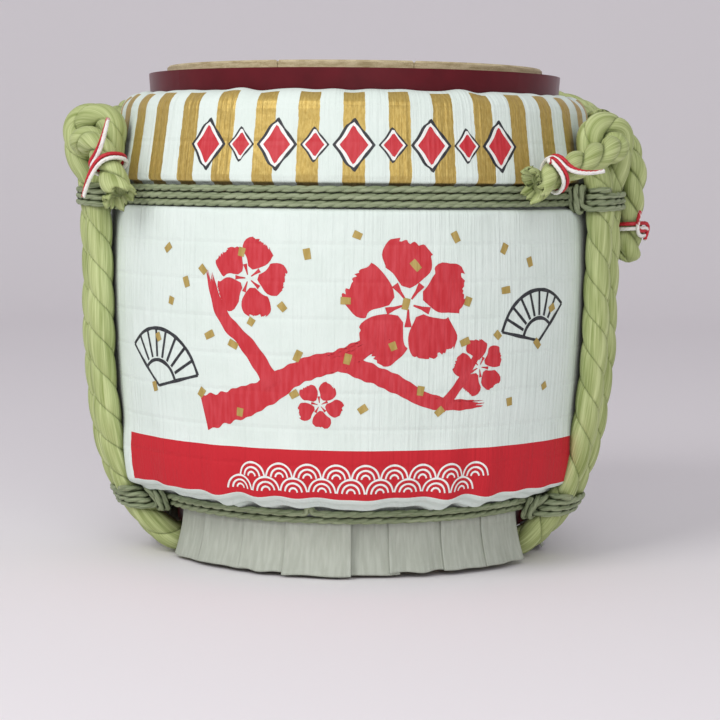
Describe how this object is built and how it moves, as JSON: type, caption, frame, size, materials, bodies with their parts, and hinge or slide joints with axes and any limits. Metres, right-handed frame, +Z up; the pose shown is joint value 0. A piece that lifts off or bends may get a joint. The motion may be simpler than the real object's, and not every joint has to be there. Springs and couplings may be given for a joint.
{
  "type": "sake cask",
  "caption": "Round lacquered wooden sake cask with a loose board lid, wrapped in a padded printed straw mat, belted with thin rope and slung in thick tied ropes.",
  "frame": {"origin": "on the floor under the tub's axis", "axes": "+Z up along the tub's axis, -Y out of the printed front, +X to the right seen from the front"},
  "size_m": [0.2839, 0.236, 0.2287],
  "materials": {
    "red_lacquer": "gloss lacquer over wood",
    "cedar": "planed",
    "pale_cedar": "planed",
    "bamboo": "split, natural skin",
    "printed_mat": "woven, printed",
    "straw": "loose straw",
    "rush_rope": "laid rope",
    "thin_straw_rope": "laid rope",
    "red_twine": "paper cord",
    "white_twine": "paper cord"
  },
  "bodies": {
    "barrel": {"base_pad_front": "straw", "base_pad_rear": "straw", "bottom_board_centre": "cedar", "bottom_board_left": "cedar", "bottom_board_right": "cedar", "hoop_1": "bamboo", "hoop_2": "bamboo", "hoop_3": "bamboo", "lower_belt": "thin_straw_rope", "lower_lashing_left": "thin_straw_rope", "lower_lashing_right": "thin_straw_rope", "mat_flap_1": "printed_mat", "mat_flap_2": "printed_mat", "mat_flap_3": "printed_mat", "mat_flap_4": "printed_mat", "mat_flap_5": "printed_mat", "mat_flap_6": "printed_mat", "mat_flap_7": "printed_mat", "mat_flap_8": "printed_mat", "mat_flap_9": "printed_mat", "packing_1": "straw", "packing_2": "straw", "packing_3": "straw", "packing_4": "straw", "packing_5": "straw", "packing_6": "straw", "packing_7": "straw", "packing_8": "straw", "red_twine_left_end": "red_twine", "red_twine_right_end": "red_twine", "red_twine_right_tail": "red_twine", "shoulder_rope_right": "rush_rope", "sling_rope": "rush_rope", "stave_01": "red_lacquer", "stave_02": "red_lacquer", "stave_03": "red_lacquer", "stave_04": "red_lacquer", "stave_05": "red_lacquer", "stave_06": "red_lacquer", "stave_07": "red_lacquer", "stave_08": "red_lacquer", "stave_09": "red_lacquer", "stave_10": "red_lacquer", "stave_11": "red_lacquer", "stave_12": "red_lacquer", "stave_13": "red_lacquer", "stave_14": "red_lacquer", "straw_mat": "printed_mat", "tie_rope_left": "rush_rope", "tie_rope_right": "rush_rope", "upper_belt": "thin_straw_rope", "upper_lashing_left": "thin_straw_rope", "upper_lashing_right": "thin_straw_rope", "white_twine_left_end": "white_twine", "white_twine_right_end": "white_twine", "white_twine_right_tail": "white_twine"},
    "lid_left": {"lid_board_left": "pale_cedar"},
    "lid_centre": {"lid_board_centre": "pale_cedar"},
    "lid_right": {"lid_board_right": "pale_cedar"}
  },
  "joints": [
    {"name": "lid_left_lift", "type": "slide", "parent": "barrel", "child": "lid_left", "axis": [0, 0, 1], "range_m": [0, 0.06]},
    {"name": "lid_centre_lift", "type": "slide", "parent": "barrel", "child": "lid_centre", "axis": [0, 0, 1], "range_m": [0, 0.06]},
    {"name": "lid_right_lift", "type": "slide", "parent": "barrel", "child": "lid_right", "axis": [0, 0, 1], "range_m": [0, 0.06]}
  ]
}
